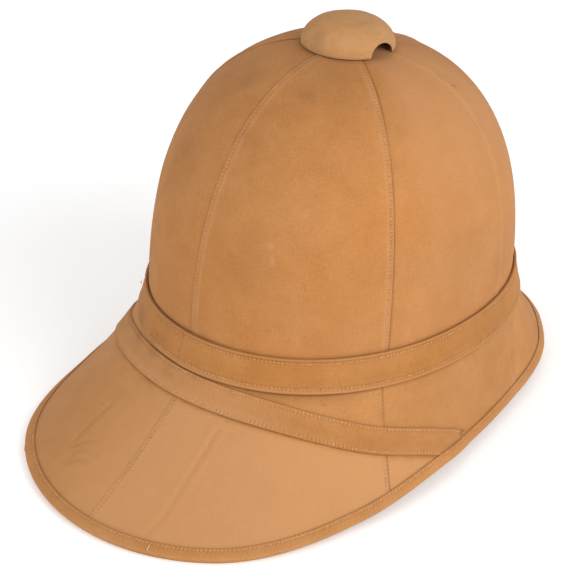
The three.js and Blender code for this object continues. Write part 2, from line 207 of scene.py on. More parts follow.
def skin_point(theta, station):
    """Outside of the cloth. Stations: -1 vent, 0 hatband's top, 1 crown's foot, 2 the rim."""
    theta, station = np.broadcast_arrays(np.asarray(theta, float), np.asarray(station, float))
    r_crown, z_crown = crown_line(theta, np.clip(-station, 0, 1.02))
    r_foot, z_foot = foot(theta)
    share = np.clip(station, 0, 1)
    r_band = oval_radius(theta) * (1 - share) + r_foot * share
    z_band = rise_to(theta, 0) * (1 - share) + z_foot * share
    r_brim, z_brim = brim_line(theta, np.clip(station - 1, 0, 1.05))
    r = np.where(station < 0, r_crown, np.where(station < 1, r_band, r_brim))
    z = np.where(station < 0, z_crown, np.where(station < 1, z_band, z_brim))
    return round_about(r, theta, z)


def skin_normal(theta, station):
    step = SMALL_STEP
    across = skin_point(theta + step, station) - skin_point(theta - step, station)
    down = skin_point(theta, station + step) - skin_point(theta, station - step)
    return unit(np.cross(down, across))


def skin(theta, station, height):
    theta, station, height = np.broadcast_arrays(theta, station, height)
    return skin_point(theta, station) + skin_normal(theta, station) * height[..., None]


def stand(points):
    """From the crown's leaning frame to the floor's."""
    c, s = math.cos(LEAN), math.sin(LEAN)
    x, y, z = points[..., 0], points[..., 1], points[..., 2]
    return np.stack([x, y * c + z * s + CENTRE_Y, z * c - y * s], -1)


def radius_at(theta, station):
    p = skin_point(theta, station)
    return np.hypot(p[..., 0], p[..., 1])


def signed(theta):
    """The angle between half a turn to the right and half a turn to the left."""
    return (theta + np.pi) % (2 * np.pi) - np.pi


def smooth(edge0, edge1, x):
    t = np.clip((x - edge0) / (edge1 - edge0), 0, 1)
    return t * t * (3 - 2 * t)


def smooth_turn(start, end, angle):
    """smooth() between two angles given in degrees."""
    return smooth(math.radians(start), math.radians(end), angle)


def bell(distance, width):
    return np.exp(-((distance / width) ** 2))


def lengths(vectors):
    return np.linalg.norm(vectors, axis=-1)


def unit(vectors):
    return vectors / lengths(vectors)[..., None]


def round_about(radius, theta, level):
    """Points about the crown's upright axis, counted from the front to the wearer's left."""
    return np.stack([radius * np.sin(theta), -radius * np.cos(theta), level], -1)


def even_turn(step):
    """Angles of a full turn, with a step in degrees."""
    return np.radians(np.arange(0, 360, step))


def running_length(points):
    """Millimetres from the first point of a line to each of its points."""
    return np.concatenate([[0], np.cumsum(lengths(np.diff(points, axis=0)))])


def ring_length(points):
    """running_length() round a ring, and on to its first point again."""
    around = running_length(points)
    return np.append(around, around[-1] + np.linalg.norm(points[0] - points[-1]))


def six_sided(count):
    """Faces of a closed tube with six sides and that many rings."""
    sides = [(k, (k + 1) % THREAD_SIDES) for k in range(THREAD_SIDES)]
    starts = [i * THREAD_SIDES for i in range(count)]
    faces = [(a + k, a + j, b + j, b + k) for a, b in zip(starts, starts[1:]) for k, j in sides]
    caps = [tuple(reversed(range(THREAD_SIDES))), tuple(starts[-1] + k for k in range(THREAD_SIDES))]
    return faces + caps


def spread(*grids):
    """Grids brought to one size and stacked, with one line of numbers for each point."""
    return np.stack(np.broadcast_arrays(*grids), -1)


LUMP_WAVES = np.array([127.1, 311.7, 74.7])


def lumps(points, size, seed=0.0):
    """Smooth noise between -1 and 1 with bumps of about that size."""
    p = points / size
    cell = np.floor(p)
    f = p - cell
    f = f * f * (3 - 2 * f)
    total = 0
    for offset in np.ndindex(2, 2, 2):
        value = np.sin((cell + offset) @ LUMP_WAVES + seed * 57.3) * 43758.5453
        value = (value - np.floor(value)) * 2 - 1
        wx, wy, wz = np.moveaxis(np.where(offset, f, 1 - f), -1, 0)
        total = total + value * wx * wy * wz
    return total


def unevenness(points):
    """Slight unevenness of cloth glued over hand-shaped pith."""
    return 0.22 * lumps(points, 38, 1) + 0.1 * lumps(points, 15, 2)


def add_object(name, data):
    made = bpy.data.objects.new(name, data)
    bpy.context.scene.collection.objects.link(made)
    return made


def finish_mesh(name, vertices, faces, material, slot, node, uvs=None, rows=None, marks=None, sharp=42):
    """Makes an object. uvs, rows and marks hold one line for each corner of each face."""
    mesh = bpy.data.meshes.new(name)
    mesh.from_pydata((stand(vertices) * MM).tolist(), [], [list(f) for f in faces])
    for layer_name, data in (("cloth", uvs), ("rows", rows)):
        if data is not None:
            layer = mesh.uv_layers.new(name=layer_name)
            layer.data.foreach_set("uv", np.asarray(data, np.float32).ravel())
    if marks is not None:
        layer = mesh.color_attributes.new(name="marks", type="FLOAT_COLOR", domain="CORNER")
        colours = np.ones((len(marks), 4), np.float32)
        colours[:, :3] = np.clip(marks, 0, 1)
        layer.data.foreach_set("color", colours.ravel())
    mesh.polygons.foreach_set("use_smooth", np.ones(len(mesh.polygons), bool))
    mesh.set_sharp_from_angle(angle=math.radians(sharp))
    mesh.materials.append(material)
    piece = add_object(name, mesh)
    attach(piece, "root")
    if node:
        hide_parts(node)


def slab(name, outer, inner, ring, material, slot, node, uv=None, rows=None, marks=None, sharp=42):
    """Closed piece between two grids of points, columns by rows. A ring's uv, rows and marks
    have one column more than its points, so that they run on past the closing column."""
    columns, count = outer.shape[:2]
    spans = columns if ring else columns - 1
    i, j = np.meshgrid(np.arange(spans), np.arange(count - 1), indexing="ij")
    i, j = i.ravel(), j.ravel()

    def quad(*corners):
        return np.stack([np.stack(np.broadcast_arrays(*c), -1) for c in corners], 1)

    s, e = np.arange(spans), count - 1
    parts = [
        quad((0, i, j), (0, i, j + 1), (0, i + 1, j + 1), (0, i + 1, j)),
        quad((1, i, j), (1, i + 1, j), (1, i + 1, j + 1), (1, i, j + 1)),
        quad((0, s, 0), (0, s + 1, 0), (1, s + 1, 0), (1, s, 0)),
        quad((0, s, e), (1, s, e), (1, s + 1, e), (0, s + 1, e)),
    ]
    if not ring:
        r, e = np.arange(count - 1), columns - 1
        parts.append(quad((1, 0, r), (1, 0, r + 1), (0, 0, r + 1), (0, 0, r)))
        parts.append(quad((0, e, r), (0, e, r + 1), (1, e, r + 1), (1, e, r)))
    corners = np.concatenate(parts)
    side, column, row = np.moveaxis(corners, -1, 0)
    faces = side * columns * count + (column % columns) * count + row
    layers = [None if grid is None else grid[column.ravel(), row.ravel()] for grid in (uv, rows, marks)]
    vertices = np.concatenate([outer.reshape(-1, 3), inner.reshape(-1, 3)])
    finish_mesh(name, vertices, faces, material, slot, node, *layers, sharp)


def closed(theta):
    """Angles of a ring with the first one repeated a turn further on."""
    return np.concatenate([theta, [theta[0] + 2 * np.pi]])


class Shader:
    """Small helper that builds a material's node tree."""

    def __init__(self, name, roughness):
        self.material = bpy.data.materials.new(name)
        self.material.use_nodes = True
        self.tree = self.material.node_tree
        self.surface = self.tree.nodes["Principled BSDF"]
        self.setting("Roughness", roughness)

    def node(self, kind, inputs=(), **settings):
        made = self.tree.nodes.new(kind)
        for key, value in settings.items():
            setattr(made, key, value)
        for key, value in dict(inputs).items():
            self.put(made.inputs[key], value)
        return made

    def put(self, socket, value):
        if isinstance(value, bpy.types.NodeSocket):
            self.tree.links.new(value, socket)
        elif isinstance(value, tuple) and len(value) == 3 and socket.type == "RGBA":
            socket.default_value = (*value, 1)
        else:
            socket.default_value = value

    def setting(self, name, value):
        self.put(self.surface.inputs[name], value)

    def math(self, operation, a, b=0.0):
        return self.node("ShaderNodeMath", {0: a, 1: b}, operation=operation).outputs[0]

    def times(self, a, b):
        return self.math("MULTIPLY", a, b)

    def plus(self, a, b):
        return self.math("ADD", a, b)

    def noise(self, vector, scale, detail=2.0, rough=0.5):
        inputs = {"Vector": vector, "Scale": scale, "Detail": detail, "Roughness": rough}
        return self.node("ShaderNodeTexNoise", inputs).outputs["Fac"]

    def stretch(self, vector, x, y, z=1.0):
        inputs = {0: vector, 1: (x, y, z)}
        return self.node("ShaderNodeVectorMath", inputs, operation="MULTIPLY").outputs[0]

    def span(self, value, low, high, to_low=0.0, to_high=1.0):
        inputs = {"Value": value, "From Min": low, "From Max": high, "To Min": to_low, "To Max": to_high}
        return self.node("ShaderNodeMapRange", inputs).outputs[0]

    def blend(self, amount, a, b, mode="MIX"):
        made = self.node("ShaderNodeMix", data_type="RGBA", blend_type=mode)
        self.put(made.inputs[0], amount)
        self.put(made.inputs[6], a)
        self.put(made.inputs[7], b)
        return made.outputs[2]

    def ripple(self, value, length, kind="SINE"):
        return self.math(kind, self.times(value, 2 * math.pi / length))

    def bump(self, height_mm, strength=1.0):
        made = self.node("ShaderNodeBump", {"Height": height_mm, "Distance": MM, "Strength": strength})
        self.setting("Normal", made.outputs[0])

    def place(self):
        return self.node("ShaderNodeTexCoord").outputs["Object"]

    def layer(self, name):
        return self.node("ShaderNodeUVMap", uv_map=name).outputs[0]


def shade(colour, by):
    return tuple(min(max(c * by, 0), 1) for c in colour)


def tinted(colour, red, green, blue):
    return colour[0] * red, colour[1] * green, colour[2] * blue


def cloth_material(name, colour, ribs=0.0):
    """Cotton drill: irregular threads both ways, faded and soiled in patches, with painted shade in
    creases, seams and stitch holes and painted light on the side that faces the key lamp.
    """
    s = Shader(name, 0.88)
    cloth = s.layer("cloth")
    rows = s.layer("rows")
    painted = s.node("ShaderNodeVertexColor", layer_name="marks").outputs[0]
    painted_shade_and_darkening, worn, soiled = s.node("ShaderNodeSeparateColor", {0: painted}).outputs
    place = s.place()
    across = s.noise(s.stretch(cloth, 2.1, 0.16), 1.0, 3.0, 0.6)
    along = s.noise(s.stretch(cloth, 0.16, 2.0), 1.0, 3.0, 0.6)
    threads = s.plus(across, along)
    fine = s.noise(s.stretch(cloth, 0.9, 0.9), 1.0, 4.0, 0.7)
    patches = s.noise(place, 22.0, 4.0, 0.55)
    clouds = s.noise(place, 85.0, 3.0, 0.6)
    specks = s.noise(place, 330.0, 2.0, 0.6)
    broad = s.noise(place, 7.0, 2.0, 0.5)
    tone = s.blend(s.span(broad, 0.34, 0.66), shade(colour, 0.93), shade(colour, 1.06))
    faded = tinted(colour, 1.05, 1.11, 1.3)
    deep = tinted(colour, 0.91, 0.85, 0.69)
    tone = s.blend(s.span(patches, 0.45, 0.75, 0, 0.6), tone, faded)
    tone = s.blend(s.span(patches, 0.5, 0.28, 0, 0.5), tone, deep)
    weave = s.span(threads, 0.72, 1.28, 0.925, 1.075)
    weave = s.times(weave, s.span(fine, 0.3, 0.7, 0.94, 1.06))
    weave = s.times(weave, s.span(clouds, 0.3, 0.7, 0.96, 1.04))
    weave = s.times(weave, s.span(specks, 0.66, 0.74, 1, 0.88))
    green, blue = s.math("POWER", weave, 1.25), s.math("POWER", weave, 1.8)
    weave = s.node("ShaderNodeCombineColor", {0: weave, 1: green, 2: blue}).outputs[0]
    tone = s.blend(1.0, tone, weave, "MULTIPLY")
    slubs = s.span(s.noise(s.stretch(cloth, 1.1, 0.16), 1.0, 1.0), 0.7, 0.78, 0, 0.3)
    tone = s.blend(slubs, tone, shade(faded, 1.12))
    # Paler cloth from the marks' second channel: wear and fading, with painted light on the side that
    # faces the key lamp.
    tone = s.blend(worn, tone, tinted(colour, 1.13, 1.26, 1.7))
    tone = s.blend(soiled, tone, tinted(colour, 0.43, 0.47, 0.66))
    # Painted shade from the marks' first channel: dark lines in seams, grooves and creases and shadows
    # under edges, with a few broad darker areas.
    tone = s.blend(s.times(painted_shade_and_darkening, 0.7), tone, tinted(colour, 0.3, 0.24, 0.2))
    split = s.node("ShaderNodeSeparateXYZ", {0: rows})
    run, away = split.outputs[0], split.outputs[1]
    near = s.math("EXPONENT", s.times(s.times(away, away), -0.9))
    wave = s.ripple(run, STITCH_PITCH, "COSINE")
    pull = s.times(near, s.plus(s.times(wave, 0.35), -0.65))
    # Painted shade in the stitch holes between the stitches.
    stitch_hole_shade = s.times(near, s.span(wave, -0.75, -1.0, 0, 0.45))
    tone = s.blend(stitch_hole_shade, tone, tinted(colour, 0.35, 0.3, 0.25))
    flat = s.node("ShaderNodeSeparateXYZ", {0: cloth})
    rib = s.ripple(flat.outputs[0], ribs) if ribs else None
    if ribs:
        tone = s.blend(s.span(rib, -1, 1, 0, 0.14), tone, tinted(colour, 0.6, 0.55, 0.5))
    s.setting("Base Color", tone)
    weft, warp = s.ripple(flat.outputs[0], THREAD_PITCH), s.ripple(flat.outputs[1], THREAD_PITCH)
    crossing = s.times(s.times(weft, warp), 0.25)
    height = s.times(s.plus(threads, crossing), 0.16)
    height = s.plus(height, s.times(pull, 0.3))
    height = s.plus(height, s.span(s.noise(place, 95.0, 3.0), 0.3, 0.7, -0.1, 0.1))
    if ribs:
        height = s.plus(height, s.times(rib, 0.08))
    s.bump(height)
    s.setting("Sheen Weight", 0.03)
    s.setting("Sheen Roughness", 0.5)
    s.setting("Specular IOR Level", 0.22)
    return s.material


def thread_material(name, dark, light):
    s = Shader(name, 0.75)
    vary = s.noise(s.place(), 420.0, 1.0)
    s.setting("Base Color", s.blend(s.span(vary, 0.35, 0.65), dark, light))
    return s.material


def pith_material():
    s = Shader("raw_pith", 0.95)
    place = s.place()
    tone = s.blend(s.span(s.noise(place, 30.0, 4.0), 0.35, 0.65), (0.42, 0.33, 0.2), (0.58, 0.48, 0.32))
    cells = s.node("ShaderNodeTexVoronoi", {"Vector": place, "Scale": 420.0}).outputs["Distance"]
    tone = s.blend(s.span(cells, 0.1, 0.55, 0.3, 0), tone, (0.2, 0.14, 0.08))
    s.setting("Base Color", tone)
    s.bump(s.plus(s.times(cells, 0.35), s.noise(place, 60.0, 4.0)), 0.7)
    return s.material


def metal_material():
    s = Shader("dull_collar_metal", 0.45)
    place = s.place()
    worn = s.noise(place, 160.0, 4.0)
    s.setting("Base Color", s.blend(s.span(worn, 0.4, 0.65), (0.42, 0.41, 0.38), (0.2, 0.18, 0.15)))
    s.setting("Metallic", 1.0)
    s.setting("Roughness", s.span(worn, 0.3, 0.7, 0.35, 0.65))
    s.bump(worn, 0.15)
    return s.material


crown_cloth = cloth_material("crown_drill", (0.416, 0.178, 0.053))
brim_cloth = cloth_material("brim_drill", (0.432, 0.19, 0.0585))
band_cloth = cloth_material("hatband_drill", (0.387, 0.163, 0.0435))
strap_cloth = cloth_material("strap_drill", (0.442, 0.191, 0.056), ribs=1.1)
tape_cloth = cloth_material("binding_twill_tape", (0.455, 0.203, 0.064), ribs=1.15)
cap_cloth = cloth_material("cap_drill", (0.46, 0.232, 0.088))
threads = {
    "faded": thread_material("faded_thread", (0.42, 0.19, 0.06), (0.54, 0.29, 0.12)),
    "cream": thread_material("cream_thread", (0.42, 0.2, 0.068), (0.57, 0.33, 0.15)),
    "bare": thread_material("bare_thread", (0.6, 0.48, 0.36), (0.78, 0.66, 0.52)),
}
pith = pith_material()
metal = metal_material()

stitch_rows = {}


def add_row(kind, theta, station, height, keep=slice(None)):
    """Notes a line on the cloth, or the part of it in keep, for a row of stitches."""
    points, normals = skin(theta, station, height), skin_normal(theta, station)
    stitch_rows.setdefault(kind, []).append((points[keep], normals[keep]))


def crown_stations(theta, fractions):
    """Stations at even arc lengths from the vent, 0, to the hatband's top edge, 1."""
    steps = np.linspace(0, 1, 400) ** 1.6
    grid = even_turn(2.0)
    line = skin_point(grid[:, None], -steps[None, ::-1])
    arcs = [running_length(points) for points in line]
    table = np.stack([np.interp(fractions * arc[-1], arc, -steps[::-1]) for arc in arcs])
    theta = np.asarray(theta) % (2 * np.pi)
    return np.stack([np.interp(theta, grid, column, period=2 * np.pi) for column in table.T], -1)


def soiling(points, spots):
    """Soft dark spots, each irregular at its edge."""
    total = np.zeros(points.shape[:-1])
    for angle, station, radius, strength in spots:
        middle = skin_point(math.radians(angle), station)
        far = lengths(points - middle) / radius
        uneven = 1 + 0.45 * lumps(points, max(radius / 1.5, 1.5), 41)
        total += strength * bell(far * uneven, 1)
    return total


def seam_layout(index, seams, between, stations):
    """A panel's middle and columns, how far in they lie from folds and tucks, and its stitch rows."""
    start = math.radians(seams[index])
    following = (index + 1) % GORES
    end = math.radians(seams[following]) + (0 if following else 2 * math.pi)
    folded = (FOLDED_AFTER[index], not FOLDED_AFTER[following])
    near, far = (np.array(FOLDED_COLUMNS if fold else TUCKED_COLUMNS) for fold in folded)
    s_start, s_end = stations(start), stations(end)
    r_start, r_end = radius_at(start, s_start), radius_at(end, s_end)
    tight = np.minimum(1, (end - start) * (r_start + r_end) / 2 / (1.25 * (near[-1] + far[-1])))
    first = start + near[:, None] * tight / r_start
    last = end - far[::-1, None] * tight / r_end
    middle = first[-1] + np.linspace(0, 1, between)[1:-1, None] * (last[0] - first[-1])
    theta = np.concatenate([first, middle, last])
    inside = [(theta - start) * r_start, (end - theta) * r_end]
    folds = [i for i, fold in zip(inside, folded) if fold]
    tucks = [i for i, fold in zip(inside, folded) if not fold]
    rows = [(start + LAP_STITCH * tight / r_start, s_start)] if folded[0] else []
    rows += [(end - LAP_STITCH * tight / r_end, s_end)] if folded[1] else []
    return (start + end) / 2, theta, folds, tucks, rows


def seam_marks(base, folds, tucks, size):
    """Painted shade: a dark line along the seams, where the folds and tucks step down, and the worn crown
    of each fold.
    """
    dark = sum(0.55 * bell(f, 0.22) for f in folds)
    dark = dark + sum(0.5 * bell(np.maximum(t - 0.1, 0), 0.4) for t in tucks)
    wear = sum(0.5 * smooth(0.1, 0.5, f) * smooth(5.0, 3.6, f) for f in folds)
    return dark * (0.6 + 0.6 * lumps(base, size, 5)).clip(0.1, 1), wear * (0.75 + 0.5 * lumps(base, 7, 33))


def nearest_stitch(folds, like):
    away = [f - LAP_STITCH for f in folds] or [np.full(like.shape, NO_STITCH_NEAR)]
    away = np.stack(away)
    return np.take_along_axis(away, np.abs(away).argmin(0)[None], 0)[0]


def crown_panel(index):
    fractions = np.linspace(0, 1, 116)
    middle, theta, folds, tucks, seams = seam_layout(
        index, CROWN_SEAMS, 38, lambda angle: crown_stations([angle], fractions)[0]
    )
    side = signed(theta)
    exact = crown_stations(theta.ravel(), fractions).reshape(*theta.shape, -1)
    stations = np.take_along_axis(exact, np.arange(len(fractions))[None, :, None], 2)[..., 0]
    base = skin_point(theta, stations)
    from_band = (1 - fractions) * lengths(np.diff(base, axis=1)).sum(1).mean()
    fade = smooth(0.0, 0.1, fractions) * (0.45 + 0.55 * smooth(0.5, 4, from_band))
    rise = sum(np.interp(f, LAP_IN, LAP_RISE) for f in folds) + 0 * theta
    tucked = sum(np.interp(t, TUCK_IN, TUCK_RISE) for t in tucks)
    puff = sum(0.16 * lumps(base, 4.5, index) * bell(f - 2.4, 1.8) for f in folds)
    outer_height = rise * fade + tucked + puff * fade + unevenness(base)
    uv = spread((theta - middle) * radius_at(theta, stations) + 40 * index, from_band)
    rows = spread(from_band, nearest_stitch(folds, theta))
    # Painted shade: dark lines along the seams, stronger towards the sides, a painted shadow line along
    # the hatband's top edge, heavier on the left, and a soft painted shadow round the cap's rim.
    crease, wear = seam_marks(base, folds, tucks, 22)
    crease = crease * (0.45 + 0.95 * smooth_turn(15, 40, np.abs(side)))
    leftward = smooth_turn(35, -10, side)
    crease = crease + (0.08 + 0.75 * leftward) * bell(from_band, 1.1) * (0.8 + 0.4 * lumps(base, 12, 6))
    crease += 0.3 * bell(np.hypot(base[..., 0], base[..., 1]) - 24, 3.0)
    soil = soiling(base, CROWN_SOIL) + 0.1 * smooth(0.2, 0.8, lumps(base, 30, 7))
    scratch = [skin_point(math.radians(a), s) for a, s in ((22, -0.27), (24, -0.205))]
    # Painted light: the side that faces the key lamp is paler, more so towards the top.
    paling_with_painted_light = smooth_turn(60, 80, side) * smooth_turn(150, 125, side)
    paling_with_painted_light = paling_with_painted_light * (0.12 + 0.45 * smooth(0.1, 0.6, -stations))
    wear = wear * fade + paling_with_painted_light + 0.9 * bell(line_distance(base, scratch), 0.6)
    marks = spread(crease, wear, soil)
    below = np.linspace(0.02, 0.14, 3)

    def extend(grid):
        return np.concatenate([grid, np.repeat(grid[:, -1:], len(below), 1)], 1)

    grid = extend(theta)
    grid_station = extend(stations)
    grid_station[:, -len(below):] = below
    grid_height = extend(outer_height)
    grid_height[:, -len(below):] = np.minimum(outer_height[:, -1:], 0.3)
    outer = skin(grid, grid_station, grid_height)
    inner = skin(grid, grid_station, -COVER_CLOTH)
    slab(
        f"crown_cloth_{index + 1}", outer, inner, False, crown_cloth, "crown_cloth",
        f"crown_panel_{index + 1}", extend(uv), extend(rows), extend(marks),
    )
    keep = (fractions > 0.13) & (from_band > 1)
    for angle, station in seams:
        add_row("crown", angle, station, 0.36 * fade + 0.02, keep)


def line_distance(points, line):
    best = np.full(points.shape[:-1], 99.0)
    for p, q in zip(line, line[1:]):
        along = np.clip(((points - p) @ (q - p)) / ((q - p) @ (q - p)), 0, 1)
        best = np.minimum(best, lengths(points - p - along[..., None] * (q - p)))
    return best


for index in range(GORES):
    crown_panel(index)


def rim_frame(theta):
    """Way out over the rim, square to its run, and millimetres out for each station."""
    step = SMALL_STEP
    run = unit(skin_point(theta + step, 2.0) - skin_point(theta - step, 2.0))
    out = unit(np.cross(run, skin_normal(theta, 2.0)))
    down = (skin_point(theta, 2 + step) - skin_point(theta, 2 - step)) / (2 * step)
    return out, (down * out).sum(-1)


def station_inside(theta, distance):
    return 2 - distance / rim_frame(theta)[1]


def shell_wall(station):
    return SHELL_WALL + (RIM_WALL - SHELL_WALL) * np.clip(station - 1, 0, 1)


def strap_edges(theta):
    """Stations of the strap's upper and lower edge, and of its end at the binding."""
    step = SMALL_STEP

    def middle(angle, extra):
        return skin_point(angle, 1 + strap_share(angle) + extra)

    run = unit(middle(theta + step, 0) - middle(theta - step, 0))
    down = (middle(theta, step) - middle(theta, -step)) / (2 * step)
    half = STRAP_WIDTH / 2 / lengths(np.cross(down, run))
    limit = station_inside(theta, BINDING_REACH + 0.1)
    return 1 + strap_share(theta) - half, 1 + strap_share(theta) + half, limit


# Faint creases in the peak's cloth: angle from the front and share of the way down the brim
CREASES = (
    ((16, 0.34), (15.5, 0.44), (14.5, 0.61), (14, 0.74), (13.5, 0.84), (12.5, 0.94)),
    ((-13, 0.49), (-13.5, 0.61), (-13.5, 0.7), (-13.3, 0.795)),
    ((-12.5, 0.785), (-11, 0.735), (-9, 0.69)),
    ((-11.5, 0.825), (-10.5, 0.77), (-8.5, 0.735), (-6, 0.725)),
    ((-10.5, 0.85), (-9, 0.805), (-7, 0.785)),
    ((-12, 0.875), (-11, 0.83)),
    ((196, 0.3), (198, 0.55), (197, 0.8)),
)


def crease_distance(points):
    lines = [[skin_point(math.radians(a), 1 + share) for a, share in crease] for crease in CREASES]
    return np.min([line_distance(points, line) for line in lines], axis=0)


def brim_panel(index):
    front = index in (0, 5)
    shares = np.concatenate([[-0.1, -0.05], np.linspace(0, 1, 96 if front else 44)])
    middle, theta, folds, tucks, seams = seam_layout(
        index, BRIM_SEAMS, 110 if front else 50, lambda angle: 1 + shares
    )
    side = signed(theta)
    stations = 1 + shares
    base = skin_point(theta, stations)
    rise = 0.4 * sum(np.interp(f, LAP_IN, LAP_RISE) for f in folds) + 0 * theta
    from_edge = lengths(base - base[:, -1:])
    fade = 0.3 + 0.7 * smooth(4.5, 9, from_edge)
    tucked = 0.8 * sum(np.interp(t, TUCK_IN, TUCK_RISE) for t in tucks)
    crease = crease_distance(base)
    dent = -0.34 * bell(crease, 1.2) + 0.2 * bell(crease - 3.0, 1.8)
    open_cloth = smooth(5, 14, from_edge) * smooth(0.03, 0.2, shares)
    outer_height = rise * fade + tucked + (dent + unevenness(base)) * open_cloth
    uv = spread((theta - middle) * radius_at(theta, stations) + 50 * index, -from_edge)
    rows = spread(from_edge, nearest_stitch(folds, theta))
    dark, wear = seam_marks(base, folds, tucks, 16)
    # Painted shade: dark lines along the seams, much stronger from 20 to 100 degrees, darker lines in the
    # faint creases, and a dark line along the binding's inner edge.
    strong = smooth_turn(20, 45, side) * smooth_turn(100, 75, side)
    dark = (0.3 + 1.9 * strong) * dark + 0.24 * bell(crease, 0.9) * (0.65 + 0.7 * lumps(base, 12, 3))
    dark += 0.3 * bell(from_edge - BINDING_REACH, 0.8)
    lower = strap_edges(theta[:, 0])[1][:, None]
    depth = lengths(skin_point(theta, 2) - skin_point(theta, 1))
    below_strap = (stations - lower) * depth
    under_strap = np.abs(side) < math.radians(82)
    below_band = (stations - 1) * depth
    # Painted shadow under the hatband's hem, strongest in front, a wider soft painted shadow below the
    # band from 14 to 58 degrees, and a painted shadow line under the strap's lower edge.
    open_front = smooth_turn(-4, 12, side)
    dark += (0.25 + 0.75 * open_front) * bell(below_band, 1.2) * (0.8 + 0.3 * lumps(base, 15, 45))
    near_front = smooth_turn(14, 28, side)
    near_front = near_front * smooth_turn(58, 40, side)
    dark += 0.46 * near_front * bell(below_band, 7)
    dark += 0.75 * bell(below_strap, 0.8) * under_strap * (0.75 + 0.4 * lumps(base, 15, 44))
    # The peak below the strap is paler: faded cloth, with painted light making it paler still towards the
    # lit right side.
    paling_with_painted_light = smooth(0, 4, below_strap) * smooth_turn(95, 70, np.abs(side))
    paling_with_painted_light = paling_with_painted_light * (0.3 + 0.5 * smooth_turn(-16, 8, side))
    # Above the strap from about 55 degrees on, the cloth is a little darker.
    above_strap = smooth(0, 4, -below_strap) * smooth_turn(55, 75, np.abs(side))
    dark += 0.07 * above_strap
    soil = soiling(base, PEAK_SOIL) + 0.08 * smooth(0.2, 0.8, lumps(base, 26, 9))
    marks = spread(dark, 0.35 * wear * fade + paling_with_painted_light, soil)
    outer = skin(theta, stations, outer_height)
    inner = skin(theta, stations, -COVER_CLOTH)
    slab(
        f"brim_cloth_{index + 1}", outer, inner, False, brim_cloth, "brim_cloth",
        f"brim_panel_{index + 1}", uv, rows, marks,
    )
    for angle, station in seams:
        edge = lengths(skin_point(angle, station) - skin_point(angle, station)[-1])
        keep = (shares > 0) & (edge > BINDING_REACH + 0.5)
        rise = 0.14 * (0.3 + 0.7 * smooth(4.5, 9, edge)) + 0.02
        add_row("brim", angle, station, rise, keep)


for index in range(GORES):
    brim_panel(index)


# Hatband: a rolled edge on top, a row of stitches under it, and a stitched hem below
JOIN_ANGLE = math.radians(-2)
BAND_DEPTH = 19.55
BAND_DOWN = (
    0, 0.15, 0.5, 0.9, 1.3, 1.65, 1.9, 2.3, 2.7, 3.2, 4.5, 7,
    9.5, 12, 14, 15.4, 16, 16.5, 17, 17.8, 18.6, 19.1, 19.4, 19.55,
)
BAND_RISE = (
    -0.75, -0.1, 0.4, 0.52, 0.42, 0.12, -0.04, -0.12, -0.14, -0.08, 0, 0.05,
    0.06, 0.04, 0.01, -0.03, -0.06, -0.04, 0.16, 0.36, 0.38, 0.22, -0.15, -0.7,
)


def hatband():
    degrees = np.concatenate([[0, 0.1, 0.25, 0.5], np.arange(1, 360, 1.0), [359.6, 359.85]])
    theta = JOIN_ANGLE + np.radians(degrees)
    down = np.array(BAND_DOWN) / BAND_DEPTH
    places = np.arange(len(down))
    fine = np.interp(np.linspace(0, places[-1], 2 * places[-1] + 1), places, down)
    mm_down = fine * BAND_DEPTH
    profile = np.interp(mm_down, BAND_DOWN, BAND_RISE)
    grid, stations = theta[:, None], np.clip(fine, 0, 1)
    base = skin_point(grid, stations)
    past_join = (theta - JOIN_ANGLE) / (2 * np.pi)
    step = 0.45 * (1 - smooth(0, 0.08, past_join)) * smooth(0, 0.0006, past_join)
    loose = 0.14 * lumps(base, 24, 4) + 0.06 * lumps(base, 9, 5)
    level = BAND_GAP + BAND_CLOTH - BAND_PRESSED
    height = level + profile + step[:, None] + loose
    outer = skin(grid, stations, height)
    inner = skin(grid, stations, BAND_GAP)
    around = ring_length(base[:, 0])
    uv = spread(around[:, None], mm_down)
    top = mm_down - BAND_TOP_STITCH
    hem = mm_down - (BAND_DEPTH - BAND_HEM_STITCH)
    nearest = np.minimum(np.abs(top), np.abs(hem))
    rows = spread(around[:, None], nearest)
    # Painted shade: dark lines under the rolled top edge and above the hem, a dark line along the band's
    # top edge, a strong painted shadow line at its lower edge and a dark line along the join; the band is
    # also a little darker about 12.5 mm down.
    crease = 0.25 * bell(mm_down - 1.95, 0.3) + 0.16 * bell(mm_down - 16.2, 0.6)
    crease += 0.1 * bell(mm_down - 12.5, 2.6)
    crease += 0.9 * bell(mm_down - 19.6, 0.42) + 0.6 * bell(mm_down + 0.1, 0.3)
    wear = 0.6 * bell(mm_down - 0.9, 0.5) + 0.6 * bell(mm_down - 18.2, 0.7)
    full = closed(theta)
    soft = lumps(skin_point(full[:, None], 0.5 + 0 * fine), 20, 8)
    join = 0.55 * bell(np.append(around[:-1], 0), 0.4)
    crease = crease * (0.9 + 0.2 * soft) + join[:, None]
    hem_face = smooth(15.8, 16.6, mm_down) * smooth(19.4, 18.9, mm_down)
    in_front = smooth_turn(70, 40, np.abs(signed(full)))
    wear = wear * (0.8 + 0.5 * soft) + 0.3 * in_front[:, None] * hem_face
    cloth = skin_point(full[:, None], np.clip(fine, 0, 1))
    marks = spread(crease, wear, 0.1 * smooth(0.1, 0.8, soft) + soiling(cloth, BAND_SOIL))
    slab("hatband_cloth", outer, inner, True, band_cloth, "band_cloth", "hatband", uv, rows, marks)
    for mm in (BAND_TOP_STITCH, BAND_DEPTH - BAND_HEM_STITCH):
        at = np.full(len(full), mm / BAND_DEPTH)
        rise = level + np.interp(mm, BAND_DOWN, BAND_RISE) + np.append(step, step[0]) + 0.05
        add_row("hatband", full, at, rise)


hatband()


STRAP_ACROSS = (
    0, 0.012, 0.035, 0.07, 0.1, 0.14, 0.2, 0.3, 0.4, 0.5, 0.6, 0.7, 0.8, 0.86, 0.9, 0.93, 0.965, 0.988, 1,
)
STRAP_IN = (0, 0.15, 0.45, 0.9, 1.5, 2.2, 3.5)
STRAP_RISE = (-0.8, -0.25, 0.06, 0.08, -0.16, 0.0, 0.02)


